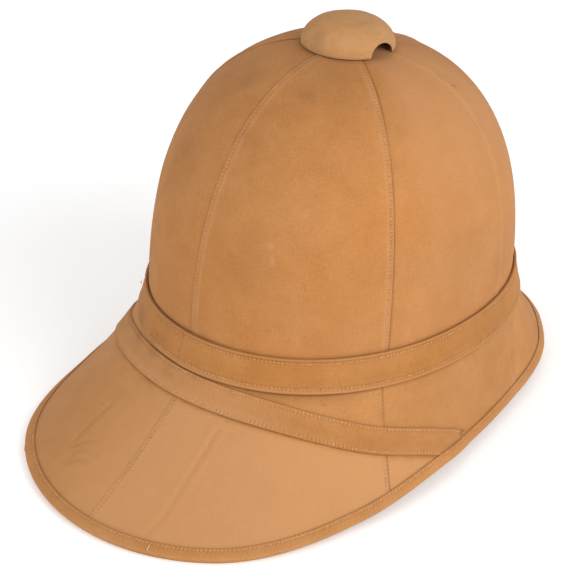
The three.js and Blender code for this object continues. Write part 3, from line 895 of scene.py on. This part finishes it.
def strap():
    theta = np.linspace(0, math.radians(110), 1101)
    upper, lower, limit = strap_edges(theta)
    end = theta[np.argmax(limit - upper < 0.01)]
    angles = np.linspace(-end, end, 420)
    upper, lower, limit = strap_edges(angles)
    across = np.array(STRAP_ACROSS)
    edge_mm = np.minimum(across, 1 - across) * STRAP_WIDTH
    whole = upper[:, None] + across * (lower - upper)[:, None]
    stations = np.minimum(whole, limit[:, None])
    grid = angles[:, None]
    base = skin_point(grid, stations)
    profile = np.interp(edge_mm, STRAP_IN, STRAP_RISE)
    cut = smooth(0, 0.03, limit[:, None] - whole)
    level = BAND_GAP - STRAP_PRESSED + STRAP_CLOTH
    height = level + profile - 0.5 * (1 - cut)
    height = height + 0.1 * lumps(base, 22, 11) + 0.05 * lumps(base, 8, 12)
    tucked_in = smooth_turn(-5, -22, angles) * smooth_turn(-80, -62, angles)
    height = height - 0.45 * tucked_in[:, None] * bell(across * STRAP_WIDTH, 2.6)
    outer = skin(grid, stations, height)
    inner = skin(grid, stations, 0.15)
    run = running_length(base[:, len(across) // 2])
    uv = spread(run[:, None], across * STRAP_WIDTH)
    rows = spread(run[:, None], edge_mm - STRAP_STITCH)
    # Painted shade: a dark line under the strap's lower edge and a fainter one at its upper edge, a shaded
    # band along its middle, and shade where its end runs under the binding; the strap is also darker from
    # 15 to 30 degrees on.
    crease = 0.7 * bell((across - 1) * STRAP_WIDTH, 0.35) + 0.12 * bell(across * STRAP_WIDTH, 0.3)
    crease = crease + 0.12 * bell(across - 0.6, 0.2) + 0.3 * (1 - cut) * (across > 0.02)
    crease += 0.13 * smooth_turn(15, 30, angles)[:, None]
    bleached = smooth_turn(42, 18, angles) * smooth_turn(-50, -8, angles)
    wear = 0.3 * bell(edge_mm - 0.6, 0.5) + bleached[:, None] * (0.5 + 0.35 * smooth(0.3, 0.8, across))
    soil = soiling(base, STRAP_SOIL) + 0.08 * smooth(0.1, 0.8, lumps(base, 25, 14))
    marks = spread(crease, wear, soil)
    slab("strap_cloth", outer, inner, False, strap_cloth, "strap_cloth", "peak_strap", uv, rows, marks)
    for share in (STRAP_STITCH / STRAP_WIDTH, 1 - STRAP_STITCH / STRAP_WIDTH):
        station = upper + share * (lower - upper)
        keep = station < limit - 0.01
        add_row("strap", angles, station, level - 0.12, keep)
    return end


strap_end = strap()


# How far in mm the tape swells over the strap's ends, which also sets how uneven it is
SWELL = 0.9


def binding():
    """Tape folded over the rim, from its inner edge on top round the tip to its edge below."""
    theta = even_turn(0.75)
    top_in = np.array([5.5, 5.42, 5.2, 4.8, 4.4, 4.1, 3.6, 2.8, 1.9, 1.0, 0.3])
    top_rise = np.array([-1.15, -0.85, -0.62, -0.55, -0.62, -0.6, -0.45, -0.32, -0.18, -0.06, 0.0])
    turn = np.linspace(90, -90, 15)
    half = (BINDING_TIP + RIM_DEPTH) / 2
    cos, sin = np.cos(np.radians(turn)), np.sin(np.radians(turn))
    tip_out = BINDING_TIP * np.abs(cos) ** 0.75
    tip_up = BINDING_TIP - half + half * np.sign(sin) * np.abs(sin) ** 0.75
    below_in = np.array([0.5, 1.5, 2.5, 3.5, 4.5, 5.1, 5.45])
    below_drop = np.array([0, 0.0, 0, 0, 0, -0.1, -0.5])
    out_mm = np.concatenate([-top_in, tip_out, -below_in])
    up_mm = np.concatenate([BINDING_TIP + top_rise, tip_up, -RIM_DEPTH - below_drop])
    inner_out = np.where(out_mm > 0, out_mm * 0.25, out_mm)
    middle = (BINDING_TIP - RIM_DEPTH) / 2
    inner_up = np.concatenate([
        np.full(len(top_in), 0.35),
        middle + (tip_up - middle) * 0.66,
        np.full(len(below_in), -RIM_DEPTH + 0.95),
    ])
    out, reach = rim_frame(theta)
    side = np.abs(signed(theta))
    over_strap = bell(side - (strap_end - math.radians(7)), math.radians(5.5))

    def wobble(points):
        return 0.12 * lumps(points, 16, 15) + 0.05 * lumps(points, 6, 16)

    def sheet(outs, ups, lowest, swell):
        stations = 2 - np.maximum(-outs, 0) / reach[:, None]
        thicker = (shell_wall(stations) - RIM_WALL) * (ups < -1)
        on_top = np.clip((ups + 1.5) / 2.5, 0, 1)
        height = ups - thicker + swell * over_strap[:, None] * on_top
        grid = theta[:, None]
        points = skin(grid, stations, height)
        points = points + skin_normal(grid, stations) * (swell * wobble(points))[..., None]
        nick = 0.6 * bell(signed(theta) - math.radians(-22), math.radians(0.7)) * (swell > 0)
        outwards = np.maximum(outs, 0) + nick[:, None] * (outs > 0)
        points = points + out[:, None] * outwards[..., None]
        level = points[..., 2] * math.cos(LEAN) - points[..., 1] * math.sin(LEAN)
        sunk = np.maximum(lowest - level, 0)
        return points + np.array([0, -math.sin(LEAN), math.cos(LEAN)]) * sunk[..., None]

    outer = sheet(out_mm, up_mm, 0.0, SWELL)
    inner = sheet(inner_out, inner_up, 0.4, 0.0)
    tip = outer[:, len(top_in) + 7]
    around = ring_length(tip)
    profile = running_length(np.stack([out_mm, up_mm], -1))
    uv = spread(around[:, None], profile)
    away = np.where(up_mm > 0, out_mm + BINDING_REACH - BINDING_STITCH, NO_STITCH_NEAR)
    rows = spread(around[:, None], away)
    # Painted shade: a dark line along the tape's inner edge on top, where it steps down onto the brim.
    crease = 0.4 * bell(out_mm + BINDING_REACH, 0.28) * (up_mm > 0)
    full = closed(theta)
    soft = lumps(skin_point(full[:, None], 2.0 + 0 * up_mm), 14, 17)
    wear = 0.3 * bell(up_mm - 0.6, 0.8) * (out_mm > -1.5) * (0.7 + 0.6 * soft)
    soil = 0.3 * smooth(0.0, 0.9, soft) * (0.4 + 0.6 * (up_mm < 0)) + 0.12 * (up_mm < -1)
    marks = spread(crease, wear, soil)
    slab("binding_tape", outer, inner, True, tape_cloth, "binding_twill", "edge_binding", uv, rows, marks)
    at = 2 - (BINDING_REACH - BINDING_STITCH) / np.append(reach, reach[0])
    swell = np.append(over_strap, over_strap[0])
    rise = BINDING_TIP - 0.58 + SWELL * swell
    add_row("binding", full, at, rise + SWELL * wobble(skin(full, at, rise)))


binding()


def highest(radius):
    theta = even_turn(7.5)
    closing = 1 - (radius / oval_radius(theta)) ** shoulder(theta)
    return float(rise_to(theta, closing ** (1 / climb(theta))).max())


CAP_LEVEL = highest(CAP_RADIUS) + 0.65


def dome(share, rise):
    return rise * (1 - np.clip(share, 0, 1) ** CAP_SQUARENESS) ** (1 / CAP_SQUARENESS)


def cap():
    """Cloth-covered cap with an arched notch in each side of its rim."""
    theta = even_turn(1.5)

    def lowest_share(radius, rise):
        """Share of the radius at which the cap ends, which is less over a notch."""
        low, high = np.zeros_like(theta), np.ones_like(theta)
        for _ in range(40):
            mid = (low + high) / 2
            y = radius * mid * np.cos(theta) / (NOTCH_WIDTH / 2)
            z = dome(mid, rise) / NOTCH_RISE
            clear = y * y + z * z > 1
            low, high = np.where(clear, mid, low), np.where(clear, high, mid)
        edge = np.abs(radius * np.cos(theta)) < NOTCH_WIDTH / 2
        return np.where(edge, low, 1)

    rings = np.sin(np.linspace(0, math.pi / 2, 34))
    rings = np.concatenate([[0.002], rings[1:]])[::-1]

    def sheet(radius, rise, curl):
        last = lowest_share(radius, rise)
        share = rings * last[:, None]
        height = dome(share, rise)
        r = radius * share - curl * bell(1 - rings, 0.004)
        return round_about(r, theta[:, None], CAP_LEVEL + height)

    outer = sheet(CAP_RADIUS, CAP_RISE, 0.25)
    bumps = 0.28 * lumps(outer, 13, 21) + 0.12 * lumps(outer, 5, 22)
    ring = 0.25 * bell(np.hypot(outer[..., 0], outer[..., 1]) - CAP_RING, 1.3)
    outer[..., 2] += (bumps - ring) * smooth(0.0, 0.25, 1 - rings)
    inner = sheet(CAP_RADIUS - CAP_WALL, CAP_RISE - CAP_WALL, -0.2)
    full = closed(theta)
    arc = running_length(np.stack([CAP_RADIUS * rings, dome(rings, CAP_RISE)], -1))
    flat = np.maximum(arc[-1] - arc, 0)
    uv = spread(flat * np.sin(full[:, None]), flat * np.cos(full[:, None]))
    rows = spread(full[:, None], NO_STITCH_NEAR + 0 * flat)
    tone = lumps(np.concatenate([outer, outer[:1]]), 9, 23)
    # Painted shade: a dark line at the cap's rim edge and a fainter one along the ring's groove.
    crease = 0.35 * bell(arc, 0.5) + 0.12 * bell(flat - CAP_RING, 1.1)
    wear = 0.25 * smooth(0, 0.9, tone) + 0.3 * bell(arc - 1.2, 1.0)
    marks = spread(crease, wear, 0.26 * smooth(0.1, 0.9, -tone) * smooth(6, 16, flat))
    slab("cap_cloth", outer, inner, True, cap_cloth, "cap_cloth", "vent_cap", uv, rows, marks, 50)


cap()


def turned(name, outline, steps, material, slot, node):
    """A closed outline of radius and level turned about the crown's upright axis."""
    theta = even_turn(360 / steps)
    r, z = np.array(outline).T
    points = round_about(r, theta[:, None], z + 0 * theta[:, None])
    count = len(r)
    i, j = np.meshgrid(np.arange(steps), np.arange(count), indexing="ij")
    i, j = i.ravel(), j.ravel()
    faces = np.stack([
        i * count + j, i * count + (j + 1) % count,
        ((i + 1) % steps) * count + (j + 1) % count, ((i + 1) % steps) * count + j,
    ], 1)
    finish_mesh(name, points.reshape(-1, 3), faces, material, slot, node, sharp=35)


FLANGE = 17
neck = VENT_RADIUS - 1
flange_level = highest(VENT_RADIUS) + 0.3
collar_top = CAP_LEVEL + dome(neck / (CAP_RADIUS - CAP_WALL), CAP_RISE - CAP_WALL) - 0.3
collar_bottom = highest(VENT_RADIUS) - 1.3 - SHELL_WALL - 3.4
turned(
    "collar_metal",
    [
        (neck - 1.2, collar_top), (neck - 1.0, collar_top + 0.15), (neck - 0.2, collar_top + 0.15),
        (neck, collar_top), (neck, flange_level + 1.9), (neck + 0.6, flange_level + 1.2),
        (FLANGE - 0.4, flange_level + 1.2), (FLANGE, flange_level + 0.9), (FLANGE, flange_level + 0.2),
        (FLANGE - 0.2, flange_level), (neck, flange_level),
        (neck, collar_bottom), (neck - 1.2, collar_bottom),
    ],
    96, metal, "collar_metal", "vent_collar",
)


def shell():
    theta = even_turn(2.0)
    fractions = np.linspace(0, 1, 46)
    crown = crown_stations(theta, fractions)
    below = np.concatenate([[0.3, 0.65], np.linspace(1, 2, 30)])
    stations = np.concatenate([crown, np.tile(below, (len(theta), 1))], 1)
    grid = theta[:, None]
    outer = skin(grid, stations, -COVER_DEPTH)
    inner = skin(grid, stations, -COVER_DEPTH - shell_wall(stations))
    inner = inner + 0.25 * lumps(inner, 12, 31)[..., None] * skin_normal(grid, stations)
    slab("pith_shell", outer, inner, True, pith, "pith", "shell")


shell()


def stitches(kind, slot, rng):
    """Short rounded threads laid along rows, each a little out of line."""
    turns = even_turn(360 / THREAD_SIDES)
    along = np.array([-1, -0.86, -0.4, 0, 0.4, 0.86, 1])
    girth = np.array([0.05, 0.62, 0.95, 1, 0.95, 0.62, 0.05])[:, None]
    sag = np.repeat(along**2, THREAD_SIDES) * 0.12
    template = np.stack([
        np.repeat(along, THREAD_SIDES) * STITCH_LENGTH / 2,
        (girth * np.cos(turns)).ravel() * STITCH_WIDTH / 2,
        (girth * np.sin(turns)).ravel() * STITCH_WIDTH / 2.4 - sag,
    ], -1)
    one_faces = [face[::-1] for face in six_sided(len(along))]
    vertices, faces = [], []
    for points, normals in stitch_rows[kind]:
        arc = running_length(points)

        def along_row(values, place):
            return np.array([np.interp(place, arc, column) for column in values.T])

        for centre in np.arange(STITCH_PITCH / 2, arc[-1] - STITCH_PITCH / 2, STITCH_PITCH):
            centre = centre + rng.normal(0, 0.11)
            p = along_row(points, centre)
            n = unit(along_row(normals, centre))
            t = along_row(points, centre + 0.5) - p
            t = unit(t - n * (t @ n))
            b = np.cross(n, t)
            yaw = rng.normal(0, 0.13)
            t, b = t * math.cos(yaw) + b * math.sin(yaw), b * math.cos(yaw) - t * math.sin(yaw)
            local = template * rng.normal(1, 0.12, 3).clip(0.7, 1.25)
            up = local[:, 2:] + rng.normal(0, 0.06)
            offset = len(vertices) * len(template)
            vertices.append(p + local[:, :1] * t + local[:, 1:2] * b + up * n)
            faces += [tuple(offset + v for v in face) for face in one_faces]
    thread = threads["faded" if kind in ("crown", "brim") else "cream"]
    finish_mesh(f"stitches_{kind}", np.concatenate(vertices), faces, thread, slot, None, sharp=60)


# Loose ends of thread: kind, slot and points of (angle, station, height in mm)
LOOSE_ENDS = (
    ("hatband", "band_cloth", (
        (-45.2, 0.7, 1.6), (-45.8, 0.76, 2.8), (-45.4, 0.84, 3.8), (-46.4, 0.86, 3.4), (-46.6, 0.94, 2.6),
    )),
    ("binding", "binding_twill", (
        (13.7, 1.974, 0.8), (14, 1.985, 1.5), (13.9, 1.998, 1.7), (14.3, 2.004, 1.9),
    )),
)
LOOSE_RADIUS = 0.17


def loose_end(name, slot, points):
    """A thin thread with a round section along a smooth line through the points."""
    t = np.arange(len(points), dtype=float)
    fine = np.linspace(0, len(points) - 1, 6 * len(points))
    blur = bell(fine[:, None] - t, 0.6)
    line = (blur / blur.sum(1, keepdims=True)) @ points
    run = unit(np.gradient(line, axis=0))
    side = unit(np.cross(run, (0.0, 0.0, 1.0)))
    over = np.cross(side, run)
    turns = even_turn(360 / THREAD_SIDES)[None, :, None]
    section = np.cos(turns) * side[:, None] + np.sin(turns) * over[:, None]
    tube = (line[:, None] + LOOSE_RADIUS * section).reshape(-1, 3)
    finish_mesh(f"loose_end_{name}", tube, six_sided(len(line)), threads["bare"], slot, None)


for name, slot, stops in LOOSE_ENDS:
    loose_end(name, slot, np.array([skin(math.radians(a), s, h) for a, s, h in stops]))


random_turns = np.random.default_rng(7)
for kind, slot in (
    ("crown", "crown_cloth"), ("brim", "brim_cloth"), ("hatband", "band_cloth"),
    ("strap", "strap_cloth"), ("binding", "binding_twill"),
):
    stitches(kind, slot, random_turns)


# Floor, light and camera
mesh = bpy.data.meshes.new("floor")
mesh.from_pydata([(-6, -6, 0), (6, -6, 0), (6, 6, 0), (-6, 6, 0)], [], [(0, 1, 2, 3)])
floor = add_object("floor", mesh)
paper = Shader("pale_floor", 0.9)
paper.setting("Base Color", (0.97, 0.97, 0.97))
paper.setting("Emission Color", (1, 1, 1))
paper.setting("Emission Strength", 0.14)
mesh.materials.append(paper.material)

world = bpy.data.worlds.new("studio")
bpy.context.scene.world = world
world.use_nodes = True
background = world.node_tree.nodes["Background"].inputs
background[0].default_value = (1, 1, 1, 1)
background[1].default_value = 0.69

# Camera: angles, range and aim in mm, focal length and picture width in the photograph's pixels
AZIMUTH = 44.07
ELEVATION = 31.18
ROLL = math.radians(-0.39)
RANGE = 1012.9
AIM_LEVEL = 85.4
AIM_LEFT = 23.4
AIM_DOWN = 19.0
FOCAL_PIXELS = 1803.4
PHOTO_PIXELS = 570
SENSOR = 36
LAMP_AIM = 0.1


def view_axes(azimuth, elevation):
    """Ways back, right and up for a view from there, both angles in degrees."""
    azimuth, elevation = math.radians(azimuth), math.radians(elevation)
    level = math.cos(elevation)
    back = Vector((math.sin(azimuth) * level, -math.cos(azimuth) * level, math.sin(elevation)))
    right = Vector((math.cos(azimuth), math.sin(azimuth), 0))
    return back, right, back.cross(right)


def placed(place, right, up, back):
    return Matrix.Translation(place) @ Matrix((right, up, back)).transposed().to_4x4()


def area_light(name, azimuth, elevation, distance, size, power):
    light = bpy.data.lights.new(name, "AREA")
    light.size = size
    light.energy = power
    lamp = add_object(name, light)
    back, right, up = view_axes(azimuth, elevation)
    lamp.matrix_world = placed(back * distance + Vector((0, 0, LAMP_AIM)), right, up, back)


area_light("key", 92, 27, 1.6, 1.2, 18.3)
area_light("fill", -8, 26, 1.8, 1.4, 11.6)

back, right, up = view_axes(AZIMUTH, ELEVATION)
target = Vector((0, 0, AIM_LEVEL)) - AIM_LEFT * right - AIM_DOWN * up + Vector((0, CENTRE_Y, 0))
right, up = right * math.cos(ROLL) + up * math.sin(ROLL), up * math.cos(ROLL) - right * math.sin(ROLL)
camera_data = bpy.data.cameras.new("camera")
camera_data.sensor_width = SENSOR
camera_data.lens = FOCAL_PIXELS / PHOTO_PIXELS * SENSOR
camera_data.clip_end = 50
camera = add_object("camera", camera_data)
camera.matrix_world = placed((target + back * RANGE) * MM, right, up, back)
bpy.context.scene.camera = camera
bpy.context.scene.view_settings.view_transform = "Standard"
